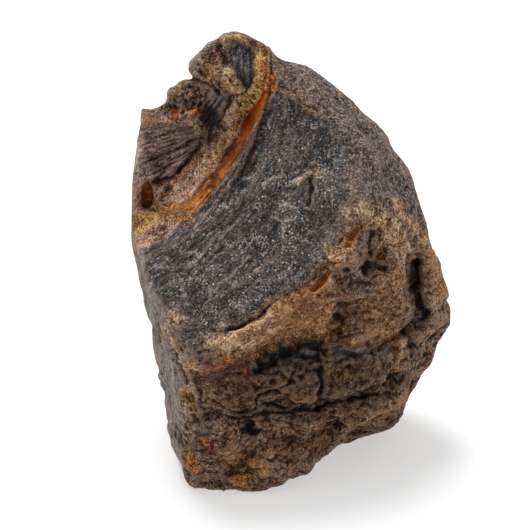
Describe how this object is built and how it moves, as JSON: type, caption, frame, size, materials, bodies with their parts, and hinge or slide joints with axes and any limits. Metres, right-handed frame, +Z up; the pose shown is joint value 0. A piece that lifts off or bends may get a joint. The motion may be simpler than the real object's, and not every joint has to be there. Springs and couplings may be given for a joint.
{
  "type": "raw amber nugget",
  "caption": "Rough palm-size lump of raw amber with a dark weathered crust, one broken corner, and a small flat facet that it stands on.",
  "frame": {"origin": "on the flat facet that the lump stands on, under the middle of the lump", "axes": "+X to the right as seen facing the smooth face, +Y to the back, +Z up"},
  "size_m": [0.0455, 0.035, 0.0605],
  "materials": {
    "amber_crust": "fossil resin: dull dark brown-grey weathered crust, glossy and clear orange where it is freshly broken",
    "clear_amber": "clear orange fossil resin, polished by its fresh break"
  },
  "bodies": {
    "root": {"raw_amber": "amber_crust"}
  },
  "joints": []
}
